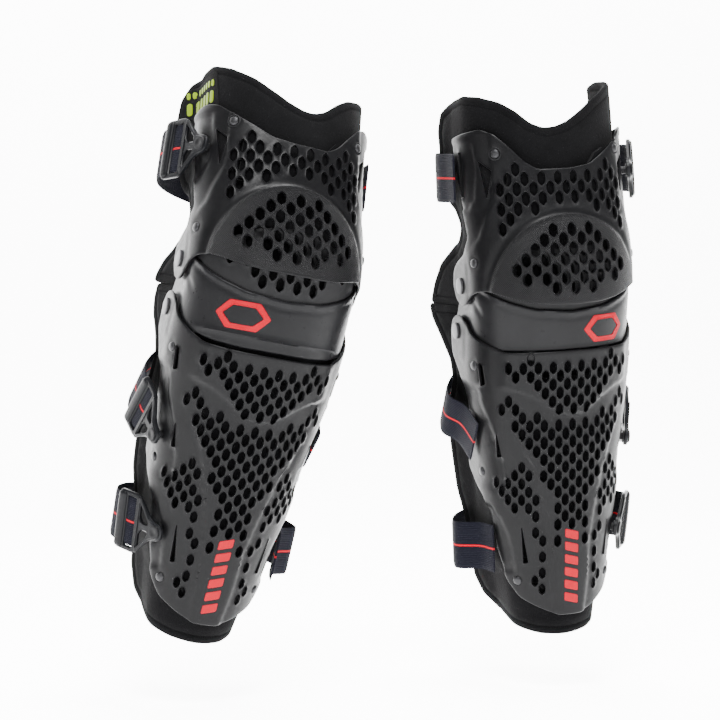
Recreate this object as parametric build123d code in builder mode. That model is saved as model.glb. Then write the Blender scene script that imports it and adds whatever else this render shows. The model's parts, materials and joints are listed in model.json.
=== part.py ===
from build123d import *
import os
from math import cos, radians, sin, sqrt

import numpy as np

# A pair of hinged motocross knee guards, in millimetres.
#
# Each guard is worn on the front of one knee. Its moulded thigh shell and shin shell
# are riveted to a knee band between them, so the guard bends at two hinges on each side.
# A perforated knee plate rides under the thigh shell and fills the gap that opens in
# front. Foam pads and a soft liner sit behind the shells, and three elastic straps close
# round the leg: each leaves a slot on the inner side and ends in a buckle that hooks on
# a stud on the outer side.
#
# One guard is modelled in its own frame: +Z up the leg, -Y forward, +X to the inner side
# of the right leg, and its origin between its two hinges. The left guard is its mirror
# image. The pair's origin is midway between the two knees.

# Placing of the two guards, and how far each is bent as it lies
KNEE_SPACING = 268.0
RIGHT_LEAN = (2.5, 9.8, 1.3)  # turns about X, Y and Z, in degrees
LEFT_LEAN = (6.0, -4.7, -1.3)
RIGHT_BEND = (12.0, 9.0)  # thigh hinge and shin hinge, in degrees
LEFT_BEND = (0.0, 0.0)

# Height, half width, front depth, and where the straight sides begin, all measured on
# the inside of the shells
SECTIONS = (
    (200, 78.0, 64.0, -10.0),
    (160, 78.5, 69.0, -12.0),
    (125, 78.5, 73.5, -14.0),
    (90, 78.0, 77.5, -18.0),
    (60, 77.0, 81.0, -27.0),
    (42, 76.0, 82.5, -35.0),
    (20, 76.0, 84.0, -35.0),
    (0, 76.0, 84.0, -32.0),
    (-20, 76.0, 83.0, -24.0),
    (-45, 76.0, 80.5, -20.0),
    (-60, 75.5, 79.0, -18.0),
    (-100, 71.5, 73.5, -15.0),
    (-150, 67.0, 67.5, -13.0),
    (-200, 60.5, 63.0, -12.0),
    (-250, 53.0, 58.0, -11.0),
    (-290, 47.0, 54.0, -10.0),
    (-310, 44.0, 52.0, -10.0),
)
THIGH_BULGE = {0: 4.0, 20: 4.5, 42: 4.5, 60: 3.5, 90: 1.0}  # the dome over the knee cap

# Layers, as offsets from the inside of the shells: outwards is positive
SHELL = (2.5, 0.0)
BAND = (-1.2, -3.7)
PLATE_WALL = 2.2
FOAM = (-0.8, -5.8)
LINER = (-6.6, -12.6)
LINER_REAR = 60.0
FLARE_START = 16.0  # behind this the liner's sides stand outwards

# Hinges, in the guard's side view
THIGH_HINGE = (-16.0, 21.0)
SHIN_HINGE = (-1.0, -21.0)
PIVOT_RADIUS = 3.5
PIVOT_PLAY = 0.06
PIVOT_HEAD = (7.5, 1.8)

# Small rivets through shell and liner: (distance round from the front, height)
THIGH_RIVETS = ((60.0, 139.0), (89.0, 43.0))
SHIN_RIVETS = ((94.0, -50.0), (90.0, -150.0), (48.0, -250.0))
RIVET_HEAD = (4.8, 1.6)
RIVET_SHANK = 2.0
RIVET_PLAY = 0.15
HEAD_LIFT = 0.12

# Hexagonal air holes: width, height, spacing round the leg and spacing up it
TOP_HOLES = (7.6, 13.0, 14.5, 17.4)
KNEE_HOLES = (8.0, 13.0, 16.0, 16.8)
SHIN_HOLES = (6.6, 11.6, 12.6, 15.3)

# Straps, buckles and the studs they hook on
STRAP_WIDTH = 44.0
STRAP_THICK = 1.8
BUCKLE_REST = 2.6  # height of the buckle's underside over the shell
BUCKLE_THICK = 3.4
STUD_AHEAD = 15.0  # how far the stud stands in front of the buckle's middle
STUD_RADIUS = 3.4
STUD_PLAY = 0.06
STUD_HEAD = (5.8, 1.6)
# For each strap: where its stud stands round the outer side and up, the strap's slant, the
# loop's half width on the inner side, its reach behind, and how far out its sewn end lies
STRAPS = {
    "thigh": dict(round=87.0, up=118.0, slant=0.0, inner=86.0, back=78.0, sewn=81.4),
    "calf": dict(round=85.0, up=-128.0, slant=32.0, inner=88.0, back=72.0, sewn=76.0),
    "ankle": dict(round=59.0, up=-210.0, slant=0.0, inner=86.0, back=64.0, sewn=65.5),
}


def section(z):
    """Half width, front depth and start of the straight sides at a height."""
    rows = np.array(SECTIONS, float)[::-1]
    return tuple(float(np.interp(z, rows[:, 0], rows[:, i])) for i in (1, 2, 3))


def bulge(z):
    """How much further forward the thigh shell stands at a height."""
    return float(np.interp(z, list(THIGH_BULGE), list(THIGH_BULGE.values()), right=0.0))


def levels(low, high):
    """The heights at which a piece is lofted, from low to high."""
    inside = [row[0] for row in SECTIONS if low + 1 < row[0] < high - 1]
    return [low, *sorted(inside), high]


def cup_depth(z, thigh_radius, shin_radius):
    """Front depth of a knee piece whose ends curve in, clear of both shells' sweep."""
    above, below = z - THIGH_HINGE[1], z - SHIN_HINGE[1]
    top = sqrt(max(thigh_radius**2 - max(above, 0.0) ** 2, 1.0)) - THIGH_HINGE[0]
    low = sqrt(max(shin_radius**2 - min(below, 0.0) ** 2, 1.0)) - SHIN_HINGE[0]
    share = min(max((z - SHIN_HINGE[1]) / (THIGH_HINGE[1] - SHIN_HINGE[1]), 0.0), 1.0)
    return low + (top - low) * share


def point_round(distance, z, offset=0.0, extra=0.0):
    """The place and outward normal at a distance round the section from the front."""

    def place(along, height):
        width, depth, straight = section(height)
        turns = np.linspace(0.0, 90.0, 181)
        x = (width + offset) * np.sin(np.radians(turns))
        y = straight - (depth + extra + straight + offset) * np.cos(np.radians(turns))
        run = np.concatenate([[0.0], np.cumsum(np.hypot(np.diff(x), np.diff(y)))])
        far = abs(along)
        if far > run[-1]:
            return Vector(np.sign(along) * (width + offset), straight + far - run[-1], height)
        return Vector(np.sign(along) * np.interp(far, run, x), np.interp(far, run, y), height)

    here = place(distance, z)
    across = place(distance + 0.5, z) - place(distance - 0.5, z)
    up = place(distance, z + 0.5) - place(distance, z - 0.5)
    return here, across.cross(up).normalized(), across.normalized()


def surface_plane(distance, z, offset=0.0, extra=0.0):
    """A plane on the surface, with its x direction round the leg and its z outwards."""
    here, normal, across = point_round(distance, z, offset, extra)
    return Plane(origin=here, x_dir=across, z_dir=normal)


def u_sketch(z, outside, inside, rear=30.0, splay=(0.0, 0.0), depth=None, extra=0.0):
    """The U-shaped section of a piece at one height, between two offsets.

    The splay is how far the outer and the inner side stand out at the rear.
    """
    width, front, straight = section(z)
    front = depth if depth is not None else front + extra + outside
    with BuildSketch(Plane.XY.offset(z)) as profile:
        with BuildLine():
            ends = []
            for offset in (outside, inside):
                across = width + offset
                deep = front + straight - (outside - offset)
                EllipticalCenterArc((0, straight), across, deep, 180, arc_size=180)
                ends.append([(side * (across + out), rear) for side, out in zip((-1, 1), splay)])
                for side, end in zip((-1, 1), ends[-1]):
                    Polyline((side * across, straight), (side * across, min(FLARE_START, rear - 1)), end)
            for outer, inner in zip(*ends):
                Line(outer, inner)
        make_face()
    return profile.sketch


def rounded_outline(points, radius, plane):
    """A closed outline with its corners rounded, drawn on a plane."""
    with BuildSketch(plane) as outline:
        with BuildLine():
            FilletPolyline(*points, radius=radius, close=True)
        make_face()
    return outline.sketch


def both_sides(points):
    """An outline of one half, from the top middle round to the bottom middle, made whole."""
    return [*points, *[(-x, z) for x, z in reversed(points) if x]]


def inside_outline(x, z, outline):
    """Whether a point lies inside a closed outline."""
    inside = False
    for (x1, z1), (x2, z2) in zip(outline, [*outline[1:], outline[0]]):
        if (z1 > z) != (z2 > z) and x < (x2 - x1) * (z - z1) / (z2 - z1) + x1:
            inside = not inside
    return inside


def hole_places(outline, holes, shift=(0.0, 3.0)):
    """Staggered rows of air holes whose middles lie inside an outline."""
    places = []
    for row in range(-50, 40):
        z = row * holes[3] / 2 + shift[1]
        for column in range(-9, 10):
            x = (column + 0.5 * (row % 2)) * holes[2] + shift[0]
            if inside_outline(x, z, outline):
                places.append((x, z))
    return places


def air_holes(places, holes, offset, extra=None, depth=9.0):
    """Hexagonal cutters standing on the surface at the given places."""
    reach = extra or (lambda z: 0.0)
    planes = [surface_plane(x, z, offset, reach(z)) for x, z in places]
    wide, tall = holes[0] / 2, holes[1] / 2
    hexagon = [(0, tall), (wide, tall / 2), (wide, -tall / 2)]
    hexagon += [(-x, -z) for x, z in hexagon]
    with BuildPart() as cutters:
        with BuildSketch(*planes):
            with BuildLine():
                Polyline(*hexagon, close=True)
            make_face()
        extrude(amount=depth / 2, both=True)
    return cutters.part


def hinge_bore(hinge, radius):
    """A cutter through both ears of a piece, on a hinge's axis."""
    with BuildPart() as bore:
        with Locations(Location((0, hinge[0], hinge[1]), (0, 90, 0))):
            Cylinder(radius, 2 * KNEE_SPACING)
    return bore.part


def rivet_bores(places, reach=lambda z: 0.0):
    """Cutters for the small rivets, on both sides."""
    planes = [surface_plane(side * x, z, 0.0, reach(z)) for x, z in places for side in (-1, 1)]
    with BuildPart() as bores:
        with BuildSketch(*planes):
            Circle(RIVET_SHANK + RIVET_PLAY)
        extrude(amount=20, both=True)
    return bores.part


# Air hole fields: (distance round from the front, height)
TOP_FIELD = both_sides(
    [(0, 119), (34, 118), (39, 129), (47, 127), (58, 110), (60, 68), (50, 70), (40, 84), (20, 93), (0, 94)]
)
DOME_FIELD = both_sides(
    [(0, 74), (27, 74), (36, 64), (50, 49), (64, 38), (58, 32), (50, 24), (32, 20), (26, 14), (0, 14)]
)
PLATE_FIELD = both_sides([(0, 44), (28, 40), (52, 30), (58, 24), (40, 12), (26, 5), (0, 4)])
CRESCENT_FIELD = both_sides(
    [(0, -44), (47, -42), (58, -48), (57, -55), (47, -63), (38, -71), (30, -78), (23, -86), (5, -92), (0, -92)]
)
SHIN_FIELD = both_sides(
    [(0, -101), (26, -101), (36, -92), (44, -84), (54, -73), (66, -78), (64, -88), (52, -98), (49, -112),
     (41, -124), (33, -132), (27, -140), (25, -158), (19, -166), (16, -216), (9, -216), (9, -203), (0, -203)]
)
FLANK_FIELD = [
    (71, -158), (60, -147), (47, -136), (39, -146), (32, -156), (28, -172), (24.5, -205), (21, -240),
    (21, -256), (29, -266), (39, -253), (29, -238), (31, -205), (42, -190), (60, -170),
]


def thigh_shell():
    """The upper shell: a notched top edge, a dome over the knee and an ear on each side."""
    y, z = THIGH_HINGE
    front = both_sides([(12, 124), (66, 157), (90, 190), (90, -20), (72, -20), (67, 18), (50, 12), (26, 6.5)])
    front = [(x + (5.0 if abs(x) < 13 and top > 100 else 0.0), top) for x, top in front]
    side = [
        (-120, -30), (-56, -30), (-54, 17), (-38, 16), (-28, 5), (-16, 2.5), (-4, 8), (3, 21), (1, 34),
        (-10, 42), (-27, 50), (-33, 66), (-22, 96), (-4, 132), (-4, 153), (-36, 158), (-55, 175), (-120, 175),
    ]
    with BuildPart() as shell:
        loft([u_sketch(h, *SHELL, extra=bulge(h)) for h in levels(0, 175)], ruled=True)
        extrude(rounded_outline(front, 1.5, Plane.XZ), amount=150, both=True, mode=Mode.INTERSECT)
        extrude(rounded_outline(side, 1.5, Plane.YZ), amount=150, both=True, mode=Mode.INTERSECT)
        add(hinge_bore(THIGH_HINGE, PIVOT_RADIUS + PIVOT_PLAY), mode=Mode.SUBTRACT)
        add(rivet_bores(THIGH_RIVETS, bulge), mode=Mode.SUBTRACT)
        add(windows([(77, 133), (64, 125), (71, 101)]), mode=Mode.SUBTRACT)
        add(stud_bore("thigh"), mode=Mode.SUBTRACT)
        for field, holes in ((TOP_FIELD, TOP_HOLES), (DOME_FIELD, KNEE_HOLES)):
            add(air_holes(hole_places(field, holes), holes, SHELL[0], bulge), mode=Mode.SUBTRACT)
    return shell.part


def windows(corners):
    """Cutters for a three- or four-cornered window on both sides of a shell."""
    centre = [sum(c[i] for c in corners) / len(corners) for i in (0, 1)]
    with BuildPart() as cutters:
        for side in (-1, 1):
            with BuildSketch(surface_plane(side * centre[0], centre[1])):
                with BuildLine():
                    Polyline(*[(side * (x - centre[0]), z - centre[1]) for x, z in corners], close=True)
                make_face()
            extrude(amount=12, both=True)
    return cutters.part


def shin_shell():
    """The lower shell: an ear on each side, tapering to a tip above the ankle."""
    front = both_sides(
        [(58, -36), (68, -30), (74, -5), (90, -5), (90, -200), (52, -240), (40, -266), (26, -275), (11, -282)]
    )
    side = [
        (-120, -20), (-58, -20), (-50, -34), (-33, -24), (-16, -9), (-1, -5.5), (10, -10), (14, -22), (12, -44),
        (-3, -62), (-9, -88), (-5, -110), (11, -136), (12, -150), (2, -160), (-16, -170), (-24, -190),
        (-24, -222), (-28, -248), (-42, -266), (-55, -300), (-120, -300),
    ]
    with BuildPart() as shell:
        loft([u_sketch(h, *SHELL) for h in levels(-290, 0)], ruled=True)
        extrude(rounded_outline(front, 1.5, Plane.XZ), amount=150, both=True, mode=Mode.INTERSECT)
        extrude(rounded_outline(side, 1.5, Plane.YZ), amount=150, both=True, mode=Mode.INTERSECT)
        add(hinge_bore(SHIN_HINGE, PIVOT_RADIUS + PIVOT_PLAY), mode=Mode.SUBTRACT)
        add(rivet_bores(SHIN_RIVETS), mode=Mode.SUBTRACT)
        add(windows([(68, -112), (62, -133), (68, -134)]), mode=Mode.SUBTRACT)
        add(windows([(42, -199), (39, -233), (43, -233)]), mode=Mode.SUBTRACT)
        for strap in ("calf", "ankle"):
            add(stud_bore(strap), mode=Mode.SUBTRACT)
        places = hole_places(CRESCENT_FIELD, SHIN_HOLES) + hole_places(SHIN_FIELD, SHIN_HOLES)
        flank = hole_places(FLANK_FIELD, SHIN_HOLES)
        places += flank + [(-x, z) for x, z in flank]
        add(air_holes(places, SHIN_HOLES, SHELL[0]), mode=Mode.SUBTRACT)
    return shell.part


def knee_band():
    """The band between the shells, with the four hinge ears at its ends."""
    step = {-50: -0.8, -35: -0.8, -32.5: 2.7, 40: 2.7}
    heights = sorted([*step, *[row[0] for row in SECTIONS if -50 < row[0] < 40]])
    front = both_sides(
        [(0, -1), (35, 3), (60, 10), (69, 16), (71, 38), (90, 40), (90, -40), (72, -38), (58, -44), (32, -46)]
    )
    side = [
        (-120, -50), (-120, 30), (-50, 14), (-32, 29), (-24, 34), (-16, 35.5), (-7, 33), (-1, 24), (0, 4),
        (10, -10), (13.5, -21), (8, -32), (-1, -35.5), (-22, -37), (-45, -50),
    ]
    with BuildPart() as band:
        lifts = [float(np.interp(h, list(step), list(step.values()))) for h in heights]
        loft([u_sketch(h, *BAND, extra=lift) for h, lift in zip(heights, lifts)], ruled=True)
        extrude(rounded_outline(front, 1.0, Plane.XZ), amount=150, both=True, mode=Mode.INTERSECT)
        extrude(rounded_outline(side, 1.0, Plane.YZ), amount=150, both=True, mode=Mode.INTERSECT)
        for hinge in (THIGH_HINGE, SHIN_HINGE):
            add(hinge_bore(hinge, PIVOT_RADIUS + PIVOT_PLAY), mode=Mode.SUBTRACT)
    return band.part


def knee_plate():
    """The perforated plate behind the band, curved to slide under the thigh shell's dome."""
    front = both_sides([(0, 64), (26, 60), (50, 46), (80, 34), (80, -10), (48, -27), (0, -28)])
    top, side = -4.1, -4.1 - PLATE_WALL
    with BuildPart() as plate:
        heights = range(-28, 69, 8)
        loft([u_sketch(h, top, side, depth=cup_depth(h, 68.0, 80.0)) for h in heights], ruled=True)
        extrude(rounded_outline(front, 4.0, Plane.XZ), amount=150, both=True, mode=Mode.INTERSECT)
        split(bisect_by=Plane.XZ.offset(26), keep=Keep.TOP)
        places = hole_places(PLATE_FIELD, KNEE_HOLES)
        reach = lambda z: cup_depth(z, 68.0, 80.0) - section(z)[1] - top
        add(air_holes(places, KNEE_HOLES, top, reach), mode=Mode.SUBTRACT)
    return plate.part


def soft_pad(outline, side_outline, heights, layer, splay=(0.0, 0.0), cup=None, radius=3.0):
    """A soft layer behind the shells, cut to its outlines from the front and the side."""
    depth = (lambda z: cup_depth(z, *cup)) if cup else (lambda z: None)
    with BuildPart() as pad:
        loft([u_sketch(h, *layer, rear=LINER_REAR, splay=splay, depth=depth(h)) for h in heights], ruled=True)
        extrude(rounded_outline(outline, radius, Plane.XZ), amount=150, both=True, mode=Mode.INTERSECT)
        if side_outline:
            extrude(rounded_outline(side_outline, radius, Plane.YZ), amount=150, both=True, mode=Mode.INTERSECT)
    return pad.part


def thigh_liner():
    """The upper part of the liner, standing proud of the thigh shell all round."""
    front = [
        (0, 159), (10, 161), (22, 173), (42, 183), (100, 187), (100, 40), (-100, 40), (-100, 196), (-45, 190),
        (-22, 176), (-10, 161),
    ]
    side = [
        (-120, 76), (-62, 76), (-32, 59), (-18, 50.5), (-4, 53), (8, 64), (27, 92), (33, 120), (37, 160),
        (35, 180), (18, 196), (-120, 200),
    ]
    return soft_pad(front, side, levels(45, 198), LINER, splay=(26.0, 8.0))


def size_label():
    """The sewn label at the outer top corner of the liner."""
    side = [(-38, 158), (14, 158), (14, 184), (-38, 187)]
    with BuildPart() as label:
        layer = (LINER[0] + 0.9, LINER[0] + 0.3)
        loft([u_sketch(h, *layer, rear=FLARE_START + 1) for h in levels(156, 190)], ruled=True)
        extrude(rounded_outline(side, 1.0, Plane.YZ), amount=-150, mode=Mode.INTERSECT)
    return label.part


def knee_pad():
    """The liner's middle part behind the band, with a wing behind the hinges on each side."""
    front = both_sides([(0, 62), (34, 60), (56, 50), (100, 50), (100, -54)])
    side = [
        (-120, -54), (-120, 66), (-60, 66), (-34, 50), (-16, 46.5), (2, 38.5), (10, 27.5), (42, 33), (55, 25),
        (58, 0), (55, -20), (42, -29.5), (25, -26.5), (16, -39), (-1, -46), (-14, -46), (-50, -54),
    ]
    return soft_pad(front, side, range(-54, 71, 8), LINER, splay=(15.0, 18.0), cup=(64.5, 76.5), radius=1.5)


def shin_liner():
    """The lower part of the liner, down to below the shin shell's tip."""
    front = both_sides([(0, -58), (100, -50), (100, -296), (30, -300), (12, -304)])
    side = [
        (-120, -60), (-50, -60), (-26, -52), (-1, -50), (14, -52), (25, -62), (41, -90), (45, -130), (45, -176),
        (38, -204), (40, -268), (30, -285), (0, -306), (-120, -306),
    ]
    return soft_pad(front, side, levels(-306, -45), LINER, splay=(13.0, 16.0))


def buckle_plane(strap):
    """The plane a buckle lies on, square to its stud: x forward along the strap, z outwards."""
    s = STRAPS[strap]
    foot, normal, across = point_round(-s["round"], s["up"], SHELL[0])
    slant = radians(s["slant"])
    forward = across * cos(slant) - normal.cross(across) * sin(slant)
    return Plane(origin=foot - forward * STUD_AHEAD, x_dir=forward, z_dir=normal)


def hooked(strap, piece):
    """A piece modelled on a buckle's plane, moved to its place."""
    return piece.moved(buckle_plane(strap).location)


def stud_bore(strap):
    """A cutter for the stud's shank through the shell."""
    with BuildPart() as bore:
        with Locations((STUD_AHEAD, 0, 0)):
            Cylinder(STUD_RADIUS + RIVET_PLAY, 30)
    return hooked(strap, bore.part)


def stud():
    """The stud a buckle hooks on: a shank through the shell, a collar and a head."""
    top = BUCKLE_REST + BUCKLE_THICK + 0.35
    with BuildPart() as post:
        with BuildSketch(Plane.XY.offset(-6)):
            with Locations((STUD_AHEAD, 0)):
                Circle(STUD_RADIUS)
        extrude(amount=top + 6 + STUD_HEAD[1])
        with BuildSketch(Plane.XY.offset(1.2)):
            with Locations((STUD_AHEAD, 0)):
                Circle(STUD_HEAD[0])
        extrude(amount=BUCKLE_REST - 0.35 - 1.2)
        with BuildSketch(Plane.XY.offset(top)):
            with Locations((STUD_AHEAD, 0)):
                Circle(STUD_HEAD[0])
        extrude(amount=STUD_HEAD[1])
        chamfer(post.edges().group_by(Axis.Z)[-1], 0.7)
    return post.part


def buckle():
    """A moulded buckle: strap window, raised cover behind it, and a pierced nose."""
    nose = STUD_AHEAD
    body = [(-30, 27), (-7, 27), (nose - 6, 9), (nose + 4, 7.5), (nose + 7.5, 4)]
    body += [(x, -y) for x, y in reversed(body)]
    opening = [(-2.5, 17), (-2.5, 3.5), (7, 3.5), (7, 7)]
    with BuildPart() as frame:
        with BuildSketch(Plane.XY.offset(BUCKLE_REST)):
            with BuildLine():
                FilletPolyline(*body, radius=2.0, close=True)
            make_face()
            with Locations((-15, 0)):
                Rectangle(10, STRAP_WIDTH + 1.6, mode=Mode.SUBTRACT)
            with Locations((nose, 0)):
                Circle(STUD_RADIUS + STUD_PLAY, mode=Mode.SUBTRACT)
            for side in (-1, 1):
                with BuildLine():
                    FilletPolyline(*[(x, side * y) for x, y in opening], radius=1.0, close=True)
                make_face(mode=Mode.SUBTRACT)
        extrude(amount=BUCKLE_THICK)
        with BuildSketch(Plane.XY.offset(BUCKLE_REST + BUCKLE_THICK)):
            with Locations((-25.5, 0)):
                RectangleRounded(8, 50, 2.5)
        extrude(amount=2.2, taper=12)
        chamfer(frame.faces().sort_by(Axis.Z)[-1].edges(), 0.6)
    return frame.part


def strap_end():
    """The strap's doubled end, turned round the bar in front of the window."""
    profile = [(-31, 0.6), (-11.6, 0.6), (-11.6, 4.6), (-19.4, 4.6), (-19.4, 3.4), (-13, 3.4)]
    profile += [(-13, 2.0), (-31, 2.0)]
    with BuildPart() as end:
        with BuildSketch(Plane.XZ):
            with BuildLine():
                Polyline(*profile, close=True)
            make_face()
        extrude(amount=STRAP_WIDTH / 2, both=True)
    return end.part


def strap(name):
    """A strap from its sewn end beside the shell, round behind the leg, to its buckle."""
    s = STRAPS[name]
    slant = radians(s["slant"])
    bar = buckle_plane(name).from_local_coords(Vector(-37, 0, 1.6))
    plane = Plane(origin=(0, bar.Y, bar.Z), x_dir=(1, 0, 0), z_dir=(0, -sin(slant), cos(slant)))
    with BuildPart() as ribbon:
        with BuildSketch(plane):
            with BuildLine():
                ends = []
                for out in (0.0, STRAP_THICK):
                    buckled, inner, behind = -bar.X + out, s["inner"] + out, s["back"] - bar.Y + out
                    EllipticalCenterArc((0, 0), buckled, behind, 90, arc_size=90)
                    EllipticalCenterArc((0, 0), inner, behind, 0, arc_size=90)
                    tail = (s["sewn"] + out, -10)
                    Line((inner, 0), tail)
                    ends.append(((-buckled, 0), tail))
                for one, other in zip(*ends):
                    Line(one, other)
            make_face()
        extrude(amount=STRAP_WIDTH / 2, both=True)
    return ribbon.part


def pivot_rivets(hinge):
    """The two flat-headed rivets of one hinge, one on each side."""
    y, z = hinge
    wide = section(z)[0]
    inner, outer = wide + BAND[1] - 0.1, wide + SHELL[0] + 0.35
    with BuildPart() as rivets:
        for side in (-1, 1):
            direction = Plane(origin=(0, y, z), x_dir=(0, 1, 0), z_dir=(side, 0, 0))
            with BuildSketch(direction.offset(inner - 1.4)):
                Circle(PIVOT_HEAD[0] - 1.5)
            extrude(amount=1.4)
            with BuildSketch(direction.offset(inner - 0.5)):
                Circle(PIVOT_RADIUS)
            extrude(amount=outer - inner + 1.0)
            with BuildSketch(direction.offset(outer)):
                Circle(PIVOT_HEAD[0])
            extrude(amount=PIVOT_HEAD[1])
            chamfer(rivets.edges().filter_by(GeomType.CIRCLE).sort_by(Axis.X)[-1 if side > 0 else 0], 0.6)
    return rivets.part


def small_rivets(places, reach=lambda z: 0.0):
    """The small rivets of one shell, on both sides: a domed head, a shank and a washer."""
    with BuildPart() as rivets:
        for distance, z in places:
            for side in (-1, 1):
                flat = surface_plane(side * distance, z, 0.0, reach(z))
                with BuildSketch(flat.offset(-1.6)):
                    Circle(RIVET_HEAD[0] - 0.8)
                extrude(amount=1.1)
                with BuildSketch(flat.offset(-1.0)):
                    Circle(RIVET_SHANK)
                extrude(amount=SHELL[0] + 2.0)
                with BuildSketch(flat.offset(SHELL[0] + HEAD_LIFT)):
                    Circle(RIVET_HEAD[0])
                extrude(amount=RIVET_HEAD[1], taper=30)
    return rivets.part


def mark(outlines, cutouts, low, high, outside, inside):
    """A thin mark lying on a curved front surface, cut to its outlines."""
    with BuildPart() as piece:
        loft([u_sketch(h, outside, inside, rear=0) for h in levels(low, high)], ruled=True)
        with BuildPart(mode=Mode.PRIVATE) as prisms:
            for shapes, mode in ((outlines, Mode.ADD), (cutouts, Mode.SUBTRACT)):
                for outline in shapes:
                    with BuildSketch(Plane.XZ):
                        with BuildLine():
                            FilletPolyline(*outline, radius=0.6, close=True)
                        make_face()
                    extrude(amount=150, mode=mode)
        add(prisms.part, mode=Mode.INTERSECT)
    return piece.part


def long_hexagon(x, z, half_width, half_height):
    """The outline of a hexagon with its long points to the left and right."""
    top = [(half_width * 0.55, half_height), (half_width, 0), (half_width * 0.55, -half_height)]
    return [(x + across, z + up) for across, up in [*top, *[(-across, up) for across, up in reversed(top)]]]


def upright_bars(x, z, count, width, height, pitch):
    """Outlines of a column of short slanted bars."""
    bars = []
    for i in range(count):
        low = z + i * pitch
        bars.append([(x, low - 4), (x + width, low), (x + width, low + height), (x, low + height - 4)])
    return bars


def right_guard():
    """Every piece of the right guard by body, with both hinges straight."""
    thigh = {
        "thigh_shell": thigh_shell(),
        "thigh_foam": soft_pad(
            both_sides([(14, 112), (34, 136), (47, 142), (50, 86), (0, 80)]), None, levels(78, 145), FOAM
        ),
        "thigh_liner": thigh_liner(),
        "thigh_rivets": small_rivets(THIGH_RIVETS, bulge),
        "thigh_strap": strap("thigh"),
        "thigh_stud": hooked("thigh", stud()),
        "size_label": size_label(),
    }
    band = {
        "knee_band": knee_band(),
        "knee_plate": knee_plate(),
        "knee_pad": knee_pad(),
        "upper_pivot_rivets": pivot_rivets(THIGH_HINGE),
        "lower_pivot_rivets": pivot_rivets(SHIN_HINGE),
        "band_mark": mark(
            [long_hexagon(-34, -19, 24, 12)], [long_hexagon(-34, -19, 17.5, 7.6)], -32.5, -5, 2.2, 1.55
        ),
    }
    shin = {
        "shin_shell": shin_shell(),
        "shin_foam": soft_pad(
            both_sides([(44, -60), (42, -140), (34, -215), (24, -258), (0, -266)]), None, levels(-270, -58), FOAM
        ),
        "shin_liner": shin_liner(),
        "shin_rivets": small_rivets(SHIN_RIVETS),
        "shin_mark": mark(upright_bars(-6, -268, 6, 12, 8, 12), [], -274, -196, 3.2, 2.55),
        "calf_strap": strap("calf"),
        "calf_stud": hooked("calf", stud()),
        "ankle_strap": strap("ankle"),
        "ankle_stud": hooked("ankle", stud()),
    }
    bodies = {"thigh": thigh, "band": band, "shin": shin}
    for name in STRAPS:
        bodies[name + "_buckle"] = {
            name + "_buckle": hooked(name, buckle()),
            name + "_strap_end": hooked(name, strap_end()),
        }
    return bodies


def hinge_turn(hinge, angle):
    """The turn of a bent hinge: positive angles send the top of a piece backwards."""
    there = Location((0, hinge[0], hinge[1]))
    return there * Location((0, 0, 0), (-angle, 0, 0)) * there.inverse()


def body_turn(body, bend):
    """How far a body is turned at its hinge in a guard that is bent by two angles."""
    if body in ("thigh", "thigh_buckle"):
        return hinge_turn(THIGH_HINGE, bend[0])
    if body == "band":
        return Location()
    return hinge_turn(SHIN_HINGE, -bend[1])


def knee_place(side):
    """Where a guard's own frame lies in the pair: side -1 is the right guard."""
    return Location((side * KNEE_SPACING / 2, 0, 0), RIGHT_LEAN if side < 0 else LEFT_LEAN)


def pair():
    """Every piece of both guards in its place, by name."""
    pieces = {}
    for body, parts in right_guard().items():
        for name, piece in parts.items():
            right = body_turn(body, RIGHT_BEND) * piece
            left = body_turn(body, LEFT_BEND) * mirror(piece, about=Plane.YZ)
            pieces[name + "_right"] = knee_place(-1) * right
            pieces[name + "_left"] = knee_place(1) * left
    pieces.pop("size_label_left")  # only the right guard has a label
    return pieces


os.makedirs("parts", exist_ok=True)
for name, piece in pair().items():
    piece.label = name
    export_step(piece, "parts/" + name + ".step")
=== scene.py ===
import json
import math

import bmesh
import bpy
import numpy as np
from mathutils import Matrix, Vector
from mathutils.geometry import delaunay_2d_cdt
from mathutils.kdtree import KDTree


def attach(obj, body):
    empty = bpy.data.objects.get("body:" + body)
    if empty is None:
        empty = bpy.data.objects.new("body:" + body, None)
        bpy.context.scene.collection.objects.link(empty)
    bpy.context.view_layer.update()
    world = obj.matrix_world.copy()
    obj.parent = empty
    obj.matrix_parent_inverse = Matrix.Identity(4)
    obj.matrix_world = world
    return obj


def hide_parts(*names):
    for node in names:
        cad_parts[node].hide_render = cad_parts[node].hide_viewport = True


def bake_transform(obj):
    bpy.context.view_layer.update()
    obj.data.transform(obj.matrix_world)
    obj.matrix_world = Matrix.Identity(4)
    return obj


MM = 0.001

# Each guard is built in its own frame, in millimetres: z up the leg, -y forward, +x to the
# inner side of the right leg. Height, half width, front depth and start of the straight sides.
SECTIONS = (
    (200, 78.0, 64.0, -10.0),
    (160, 78.5, 69.0, -12.0),
    (125, 78.5, 73.5, -14.0),
    (90, 78.0, 77.5, -18.0),
    (60, 77.0, 81.0, -27.0),
    (42, 76.0, 82.5, -35.0),
    (20, 76.0, 84.0, -35.0),
    (0, 76.0, 84.0, -32.0),
    (-20, 76.0, 83.0, -24.0),
    (-45, 76.0, 80.5, -20.0),
    (-60, 75.5, 79.0, -18.0),
    (-100, 71.5, 73.5, -15.0),
    (-150, 67.0, 67.5, -13.0),
    (-200, 60.5, 63.0, -12.0),
    (-250, 53.0, 58.0, -11.0),
    (-290, 47.0, 54.0, -10.0),
    (-310, 44.0, 52.0, -10.0),
)
BULGE = ((-400, 4.0), (0, 4.0), (42, 4.5), (60, 3.5), (90, 1.0), (110, 0.0), (400, 0.0))
THIGH_HINGE = (-16.0, 21.0)
SHIN_HINGE = (-1.0, -21.0)
OUTER = 2.5  # thickness of the shells, outwards from their inside
ROW_AT_TOP, ROW_AT_LOW = 215, -330
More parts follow.
